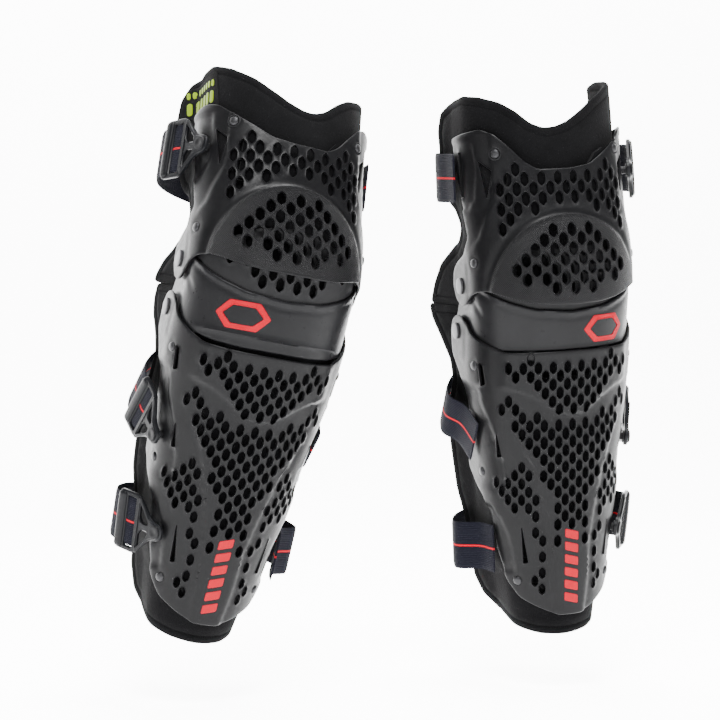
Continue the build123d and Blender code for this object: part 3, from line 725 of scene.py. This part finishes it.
# Where the air holes lie.
ARCH = both_sides([
    (0, 119), (34, 118), (39, 129), (47, 127), (58, 110), (60, 68), (50, 70), (40, 84), (20, 93), (0, 94),
])
DOME_ZONE = both_sides([
    (0, 74), (27, 74), (36, 64), (50, 49), (64, 38), (58, 32), (50, 24), (32, 20), (26, 14), (0, 14),
])
PLATE_ZONE = both_sides([(0, 60), (28, 55), (48, 40), (58, 30), (50, 22), (40, 12), (26, 5), (0, 4)])
CRESCENT = both_sides([
    (0, -44), (47, -42), (58, -48), (57, -55), (47, -63), (38, -71), (30, -78), (23, -86), (5, -92), (0, -92),
])
SHIN_MAIN = both_sides([
    (0, -101), (26, -101), (36, -92), (44, -84), (54, -73), (66, -78), (64, -88), (52, -98), (49, -112),
    (41, -124), (33, -132), (27, -140), (25, -158), (19, -166), (16, -174), (16, -216), (9, -216),
    (9, -203), (0, -203),
])
SHIN_SIDE = [
    (71, -158), (60, -147), (47, -136), (39, -146), (32, -156), (28, -172), (24.5, -205), (21, -240),
    (21, -256), (29, -266), (39, -253), (29, -238), (31, -205), (42, -190), (60, -170),
]


def build_shells():
    window = [(-77, 133), (-65, 124), (-71, 100)]
    thigh_holes = lattice(ARCH, 14.5, 17.4, 6.2, 13.2)
    thigh_holes += lattice(DOME_ZONE, 16.0, 16.8, 6.8, 12.8)
    for side in (-1, 1):
        thigh_holes.append(rounded([(x * -side, z) for x, z in window], 1.5, 4)[::-side])
    strap_slot = [(101, 141), (104.5, 141), (104.5, 101), (101, 101)]
    thigh_holes.append(rounded(strap_slot, 1.0, 3)[::-1])
    thigh = Panel(THIGH_EDGE, thigh_holes, step=3.2)
    shin_holes = lattice(CRESCENT, 12.6, 15.3, 5.6, 11.4)
    shin_holes += lattice(SHIN_MAIN, 12.6, 15.3, 5.6, 11.6)
    side_zone = lattice(SHIN_SIDE, 12.6, 15.3, 5.4, 11.0)
    shin_holes += side_zone + [(h * (-1, 1))[::-1] for h in side_zone]
    slots = (
        [(88, -47), (83, -49), (80, -66), (85, -68)],
        [(68, -112), (63, -133), (68.5, -134)],
        [(44, -199), (38, -232), (42, -233)],
    )
    for slot in slots:
        for side in (-1, 1):
            shin_holes.append(rounded([(x * side, z) for x, z in slot], 1.2, 4))
    shin = Panel(SHIN_EDGE, shin_holes, step=3.2)
    band = Panel(BAND_EDGE, step=2.6, rim=((0.0, 0.9), (0.5, 0.25), (1.2, 0.0)))
    plate = Panel(PLATE_EDGE, lattice(PLATE_ZONE, 16.0, 16.8, 6.8, 12.8), step=4.5)
    soft_rim = ((0.0, 2.8), (0.7, 1.2), (2.0, 0.15), (4.6, 0.0), (6.9, 0.0), (7.7, 0.75), (8.5, 0.0))
    upper = Panel(UPPER_LINER_EDGE, rim=soft_rim, step=6.0, edge=3.4)
    lower = Panel(LOWER_LINER_EDGE, rim=soft_rim, step=6.0, edge=3.4)
    for side in ("right", "left"):
        f = FRAMES[side]
        flip = side == "left"
        made = [
            (thigh, "thigh_shell", "thigh", LEG, DOME, dict(relief=thigh_relief)),
            (shin, "shin_shell", "shin", LEG, SHELL, dict(relief=shin_relief)),
            (band, "knee_band", "band", LEG, BAND, dict(relief=band_relief, height=BAND_FACE)),
            (plate, "knee_plate", "band", PLATE, PLATE_PLASTIC, dict(height=PLATE_FACE, thick=2.2)),
        ]
        for panel, name, body, surface, material, settings in made:
            obj = panel.build(name + "." + side, surface, f[body], material, mirrored=flip, **settings)
            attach(obj, side + "_" + body)
            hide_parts(name + "_" + side)
        cloth = dict(height=LINER_FACE, thick=6.0, relief=liner_relief, mirrored=flip, sharp=0)
        turn = (f["band"], f["thigh"], TURN_START, TURN_END)
        above = upper.build("upper_liner." + side, UPPER_LINER, None, KNIT, bend=turn, **cloth)
        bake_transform(above)
        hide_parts("thigh_liner_" + side)
        turn = (f["shin"], f["band"], -TURN_END, -TURN_START)
        below = lower.build("lower_liner." + side, LOWER_LINER, None, KNIT, bend=turn, **cloth)
        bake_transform(below)
        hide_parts("shin_liner_" + side, "knee_pad_" + side)


build_shells()


# ---------------------------------------------------------------- hardware
def guard_matrix(side, body, local):
    """A local matrix in the right guard, placed on either guard's body."""
    if side == "left":
        local = Matrix.Scale(-1, 4, (1, 0, 0)) @ local @ Matrix.Scale(-1, 4, (1, 0, 0))
    return FRAMES[side][body] @ local


RINGED = (60, 139)  # these rivets sit in a washer
PIVOT_OUT = 77.05 + OUTER  # from a guard's middle to the foot of a pivot rivet's head


def build_rivets():
    small = [(0.0, 2.0), (1.6, 1.95), (2.9, 1.65), (3.7, 1.1), (4.1, 0.35), (4.15, -0.5)][::-1]
    ring = [(4.6, -0.6), (4.7, 0.35), (5.2, 0.75), (5.9, 0.5), (6.1, -0.6)]
    flat = [(7.4, 0.0), (7.5, 1.2), (7.1, 1.75), (6.6, 1.9), (2.0, 1.95), (0.0, 1.95)]
    for side in ("right", "left"):
        for body, name, places, relief in (
            ("thigh", "thigh_rivets", (RINGED, (89, 43)), thigh_relief),
            ("shin", "shin_rivets", ((94, -50), (90, -150), (48, -250)), shin_relief),
        ):
            made = []
            for s, z in places:
                for way in (-1, 1):
                    lift = float(relief(np.array([way * float(s)]), np.array([float(z)]))[0])
                    local = LEG.plane(way * s, z, OUTER + lift)
                    made.append(lathe("rivet", small, guard_matrix(side, body, local), RIVET, turns=24))
                    if (s, z) == RINGED:
                        made.append(lathe("ring", ring, guard_matrix(side, body, local), STUD, turns=24))
            obj = joined(made, name + "." + side)
            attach(obj, side + "_" + body)
            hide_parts(name + "_" + side)
        for name, (y, z) in (("upper_pivot_rivets", THIGH_HINGE), ("lower_pivot_rivets", SHIN_HINGE)):
            made = []
            for way in (-1, 1):
                turn = Matrix.Rotation(math.radians(90 * way), 4, "Y")
                local = Matrix.Translation((way * PIVOT_OUT, y, z)) @ turn
                made.append(lathe("pivot", flat, guard_matrix(side, "band", local), PIVOT, turns=40))
            obj = joined(made, name + "." + side)
            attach(obj, side + "_band")
            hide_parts(name + "_" + side)


# round and up place the stud on the outer side; slant tilts the strap; inner and back are the
# loop's reach; sewn is where it comes back to the shell; ends is how far round it runs; drop is
# how much lower its sewn end hangs.
STRAPS = {
    "thigh": dict(body="thigh", round=87.0, up=118.0, slant=0.0, inner=86.0, back=78.0),
    "calf": dict(body="shin", round=85.0, up=-128.0, slant=32.0, inner=88.0, back=72.0),
    "ankle": dict(body="shin", round=59.0, up=-210.0, slant=0.0, inner=86.0, back=64.0),
}
STRAPS["thigh"].update(sewn=81.4, ends=104.0, drop=0.0)
STRAPS["calf"].update(sewn=76.0, ends=92.0, drop=0.0)
STRAPS["ankle"].update(sewn=65.5, ends=70.0, drop=11.0)
STRAP_WIDTH, STRAP_THICK = 44.0, 1.8
BUCKLE_REST, BUCKLE_THICK = 2.6, 3.4  # how far a buckle stands off the shell, and its thickness
STUD_AHEAD = 15.0  # from a buckle's middle to its stud
QUARTER_STEPS = 18  # points on each quarter of a strap's loop


def buckle_panels():
    nose = STUD_AHEAD
    body = both_y([(-30, 27), (-7, 27), (nose - 6, 9.5), (nose + 4, 7.5), (nose + 7.5, 4)])
    window = rounded([(-20, -22.8), (-10, -22.8), (-10, 22.8), (-20, 22.8)], 1.2, 3)
    opening = [(-4.5, 19), (-4.5, 8), (-1.5, 3.2), (6.5, 3.2), (6.5, 8.5)]
    holes = [window, rounded(opening, 1.2, 3), rounded([(x, -y) for x, y in reversed(opening)], 1.2, 3)]
    rim, hole_rim = ((0.0, 0.8), (0.4, 0.25), (1.0, 0.0)), ((0.0, 0.8), (0.8, 0.0))
    frame_panel = Panel(body, holes, rim=rim, step=3.0, edge=1.6, hole_rim=hole_rim)
    rim = ((0.0, 2.3), (0.4, 1.2), (1.2, 0.45), (2.4, 0.0))
    cover = Panel([(-30.2, -26), (-21.2, -26), (-21.2, 26), (-30.2, 26)], rim=rim, step=2.4, edge=1.4)
    outside = both_y([(-6, 25), (-3.5, 25), (nose - 6.2, 7.8), (nose + 3, 6.2), (nose + 5, 3.5)])
    inner_edge = rounded(both_y([(-4.8, 21), (nose - 8, 6.4), (nose - 8.2, 2.5)]), 1.5, 3)
    rim, hole_rim = ((0.0, 0.7), (0.5, 0.1), (0.9, 0.0)), ((0.0, 0.7), (0.6, 0.0))
    rib = Panel(outside, [inner_edge], rim=rim, step=3.0, edge=1.6, hole_rim=hole_rim)
    return frame_panel, cover, rib


def both_y(points):
    return [*points, *[(x, -y) for x, y in reversed(points)]]


def buckle_matrix(name):
    """A buckle's plane in the right guard: x forward along the strap, z outwards."""
    s = STRAPS[name]
    return LEG.plane(-s["round"], s["up"], OUTER, turn=-s["slant"]) @ Matrix.Translation((-STUD_AHEAD, 0, 0))


def strap_path(name):
    """Centre points and width directions of a strap, from its buckle round to its sewn end."""
    s = STRAPS[name]
    plane = buckle_matrix(name)
    across = np.array(plane.to_3x3() @ Vector((0, 1, 0)))
    start = ((-9.2, 3.0), (-12, 4.0), (-16, 4.5), (-20, 3.9), (-25, 1.9), (-31, 1.6), (-37, 1.6))
    near = [np.array(plane @ Vector((x, 0, h))) for x, h in start]
    bar = near[-1]
    slant = math.radians(s["slant"])
    deep = s["back"] - bar[1]
    quarter = np.linspace(0.0, math.pi / 2, QUARTER_STEPS + 1)[1:]
    flat = [(bar[0] * math.cos(a), deep * math.sin(a)) for a in quarter]
    flat += [(s["inner"] * math.sin(a), deep * math.cos(a)) for a in quarter]
    flat.append((s["sewn"] + STRAP_THICK / 2, -10.0))
    loop = [np.array((x, bar[1] + v * math.cos(slant), bar[2] + v * math.sin(slant))) for x, v in flat]
    # The sewn end lies along the shell.
    for round_leg in np.arange(s["ends"] + 16.0, s["ends"] - 1.0, -4.0):
        here = np.array([0.0, 0.0, loop[-1][2]])
        for _ in range(4):
            here = LEG.point(np.array([round_leg]), here[2:], np.array([OUTER + 2.0]))[0]
            here[2] = bar[2] + (here[1] - bar[1]) * math.tan(slant)
        if here[1] < loop[-1][1] - 2.0:
            loop.append(here)
    for k, point in enumerate(loop):
        point[2] -= s["drop"] * smooth(k / (2.0 * QUARTER_STEPS))
    points = np.array(near + loop)
    run = np.concatenate([[0], np.cumsum(np.linalg.norm(np.diff(points, axis=0), axis=1))])
    marks = np.linspace(0, run[-1], int(run[-1] / 2.2))
    fine = np.stack([np.interp(marks, run, points[:, i]) for i in range(3)], axis=1)
    soft = np.stack([blur(fine[:, i], 2) for i in range(3)], axis=1)
    soft[:9] = fine[:9] * 0.6 + soft[:9] * 0.4
    tilted = np.array((0, -math.sin(slant), math.cos(slant)))
    share = smooth((marks - run[len(near) - 1] * 0.6) / 60.0)[:, None]
    widths = across * (1 - share) + tilted * share
    return soft, widths / np.linalg.norm(widths, axis=1)[:, None], marks


def ribbon(name, centres, widths, marks, side, body, material):
    """A woven band along a path, with rounded selvedges."""
    profile = []
    for k in np.linspace(-1, 1, 13):
        thin = 1 - 0.75 * max(0, abs(k) - 0.93) / 0.07
        profile.append((k * STRAP_WIDTH / 2, STRAP_THICK / 2 * thin))
    full = profile + [(x, -h) for x, h in reversed(profile)]
    tangent = np.gradient(centres, axis=0)
    tangent /= np.linalg.norm(tangent, axis=1)[:, None]
    normal = np.cross(tangent, widths)
    normal /= np.linalg.norm(normal, axis=1)[:, None]
    points, uv = [], []
    for x, h in full:
        points.append(centres + widths * x + normal * h)
        uv.append(np.column_stack([marks, np.full(len(marks), x)]))
    points, uv = np.array(points), np.array(uv)
    rows, count = points.shape[0], points.shape[1]
    faces = []
    for i in range(rows):
        here, there = i * count, (i + 1) % rows * count
        faces += [(here + k, there + k, there + k + 1, here + k + 1) for k in range(count - 1)]
    faces.append(tuple(i * count for i in reversed(range(rows))))
    faces.append(tuple(i * count + count - 1 for i in range(rows)))
    flat_points = points.reshape(-1, 3)
    if side == "left":
        flat_points = flat_points * (-1, 1, 1)
        faces = [f[::-1] for f in faces]
    row = placed(flat_points, FRAMES[side][body])
    obj = new_object(name, row, faces, material, uv=uv.reshape(-1, 2) * MM, sharp=50)
    mesh = bmesh.new()
    mesh.from_mesh(obj.data)
    bmesh.ops.recalc_face_normals(mesh, faces=mesh.faces)
    mesh.to_mesh(obj.data)
    mesh.free()
    return obj


def build_straps():
    frame_panel, cover, rib = buckle_panels()
    foot, neck = [(3.4, -5.0), (3.4, 1.0)], [(5.8, 1.2), (5.8, 2.2), (3.4, 2.3), (3.4, 6.2)]
    head = [(5.5, 6.35), (5.9, 7.0), (5.5, 7.7), (3.6, 8.0), (2.4, 7.5), (0.0, 7.4)]
    for side in ("right", "left"):
        for name, s in STRAPS.items():
            body = s["body"]
            local = buckle_matrix(name)
            hook = side + "_" + name + "_buckle"
            flip = side == "left"
            made = []
            for panel, height, thick, relief in (
                (frame_panel, BUCKLE_REST + BUCKLE_THICK, BUCKLE_THICK, None),
                (cover, BUCKLE_REST + BUCKLE_THICK + 2.2, 3.0, lambda s, z: -0.5 * (z / 26.0) ** 2),
                (rib, BUCKLE_REST + BUCKLE_THICK + 0.9, 1.0, None),
            ):
                shape = dict(height=height, thick=thick, relief=relief, mirrored=flip, back_drop=0.5)
                made.append(panel.build("part", PlaneSurface(local), FRAMES[side][body], BUCKLE, **shape))
            obj = joined(made, name + "_buckle." + side)
            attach(obj, hook)
            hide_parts(name + "_buckle_" + side)
            at_stud = guard_matrix(side, body, local @ Matrix.Translation((STUD_AHEAD, 0, 0)))
            post = lathe(name + "_stud." + side, foot + neck + head, at_stud, STUD, turns=28)
            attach(post, side + "_" + body)
            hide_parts(name + "_stud_" + side)
            centres, widths, marks = strap_path(name)
            strap = ribbon(name + "_strap." + side, centres, widths, marks, side, body, WEBBING)
            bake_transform(strap)
            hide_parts(name + "_strap_" + side, name + "_strap_end_" + side)


class PlaneSurface:
    """A plane in a guard's frame, given by a matrix."""

    def __init__(self, matrix):
        self.matrix = np.array(matrix)

    def point(self, s, z, height):
        flat = np.column_stack([s, z, np.broadcast_to(height, s.shape)])
        return flat @ self.matrix[:3, :3].T + self.matrix[:3, 3]


def both_ends(x, z, half_width, half_height):
    """A hexagon with its long points to the left and right."""
    top = [(half_width * 0.55, half_height), (half_width, 0), (half_width * 0.55, -half_height)]
    return [(x + a, z + b) for a, b in both_sides(top)]


def build_label():
    """The right guard's sewn label, with plain lime bars in place of its print."""
    edge = [(-152, 158), (-80, 156), (-88, 193), (-146, 187)]
    cloth = Panel(edge, rim=((0.0, 0.4), (0.5, 0.0)), step=3.0, edge=2.0)
    matrix = FRAMES["right"]["thigh"]
    settings = dict(surface=UPPER_LINER, matrix=matrix, relief=liner_relief, back_drop=0.0)
    patch = cloth.build("size_label.right", material=LABEL, height=-5.9, thick=0.5, **settings)
    rows = [(-144 + 7.0 * i, 178, 4.4, 6.5) for i in range(8)]
    rows += [(-143 + 9.4 * i, 162, 6.4, 12.0) for i in range(6)]
    made = []
    for x, z, wide, tall in rows:
        edge = [(x, z), (x + wide, z), (x + wide - 0.8, z + tall), (x - 0.8, z + tall)]
        bar = Panel(edge, rim=((0.0, 0.1), (0.2, 0.0)), step=2.0, edge=1.5)
        made.append(bar.build("bar", material=LIME, height=-5.65, thick=0.4, **settings))
    bars = joined(made, "label_bars.right")
    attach(patch, "right_thigh")
    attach(bars, "right_thigh")
    if "size_label_right" in frame["nodes"]:
        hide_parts("size_label_right")


def build_marks():
    def lifted(relief, base):
        return lambda s, z: relief(s, z) + base

    ring = [both_ends(-34, -19, half, tall) for half, tall in ((24, 12), (17.5, 7.6))]
    bars = [[(-6, z), (6, z + 4), (6, z + 12), (-6, z + 8)] for z in range(-272, -200, 12)]
    rim = ((0.0, 0.3), (0.3, 0.0))
    for side in ("right", "left"):
        for name, shapes, relief, base, body in (
            ("band_mark", [(ring[0], [rounded(ring[1], 1.0, 3)])], band_relief, BAND_FACE + 0.45, "band"),
            ("shin_mark", [(bar, []) for bar in bars], shin_relief, OUTER + 0.35, "shin"),
        ):
            made = []
            for shape, holes in shapes:
                panel = Panel(rounded(shape, 1.0, 4), holes, rim=rim, step=2.5, edge=1.2)
                laid = dict(relief=lifted(relief, base), mirrored=side == "left")
                made.append(panel.build("bar", LEG, FRAMES[side][body], RED, height=0.0, thick=0.6, **laid))
            obj = joined(made, name + "." + side)
            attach(obj, side + "_" + body)
            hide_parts(name + "_" + side)


build_rivets()
build_straps()
build_marks()
build_label()
for node, material in (("thigh_foam", FOAM), ("shin_foam", FOAM)):
    for side in ("right", "left"):
        mesh = frame["nodes"][node + "_" + side].data
        mesh.materials.clear()
        mesh.materials.append(material)


# ---------------------------------------------------------------- studio
FLOOR = -0.36  # the floor's height


def build_studio():
    floor_material = Nodes("studio_floor")
    cloud = floor_material.noise(floor_material.coordinate(), 3.0, 3.0)
    share = floor_material.ramp(cloud, 0.3, 0.7, 0.0, 1.0)
    color = floor_material.mix(share, (0.90, 0.90, 0.90), (0.88, 0.88, 0.88))
    glow = {"Emission Color": (1.0, 1.0, 1.0, 1.0), "Emission Strength": 7.0}
    floor_material.finish(color, 0.9, **glow)
    profile = [(-4.0, 0.0), (1.4, 0.0)]
    profile += [(1.4 + 1.2 * math.sin(a), 1.2 - 1.2 * math.cos(a)) for a in np.linspace(0.1, math.pi / 2, 12)]
    profile += [(2.6, 5.0)]
    points, faces = [], []
    for y, z in profile:
        for x in (-6.0, 6.0):
            points.append((x, y, z + FLOOR))
    for i in range(len(profile) - 1):
        faces.append((2 * i, 2 * i + 1, 2 * i + 3, 2 * i + 2))
    floor = new_object("studio_floor", np.array(points), faces, floor_material.material, sharp=0)
    world = bpy.data.worlds.new("studio")
    bpy.context.scene.world = world
    world.use_nodes = True
    world.node_tree.nodes["Background"].inputs[0].default_value = (1.0, 1.0, 1.0, 1.0)
    world.node_tree.nodes["Background"].inputs[1].default_value = 0.9
    for name, place, target, size, power in (
        ("key", (-0.6, -1.7, 2.2), (0, 0, 0), 0.9, 250),
        ("fill", (1.6, -1.5, 0.6), (0, 0, 0), 1.2, 10),
        ("top", (0.2, -0.3, 2.0), (0, 0, 0), 0.8, 140),
    ):
        light = bpy.data.lights.new(name, "AREA")
        light.size = size
        light.energy = power
        obj = bpy.data.objects.new(name, light)
        obj.location = place
        obj.rotation_euler = (Vector(target) - Vector(place)).to_track_quat("-Z", "Y").to_euler()
        bpy.context.scene.collection.objects.link(obj)


def build_camera():
    camera = bpy.data.objects.new("camera", bpy.data.cameras.new("camera"))
    camera.data.lens = 97.4
    camera.data.sensor_width = 36.0
    camera.location = (-0.609, -1.650, -0.054)
    camera.rotation_euler = Vector((0.327, 0.945, 0.0)).to_track_quat("-Z", "Y").to_euler()
    bpy.context.scene.collection.objects.link(camera)
    bpy.context.scene.camera = camera


build_studio()
build_camera()
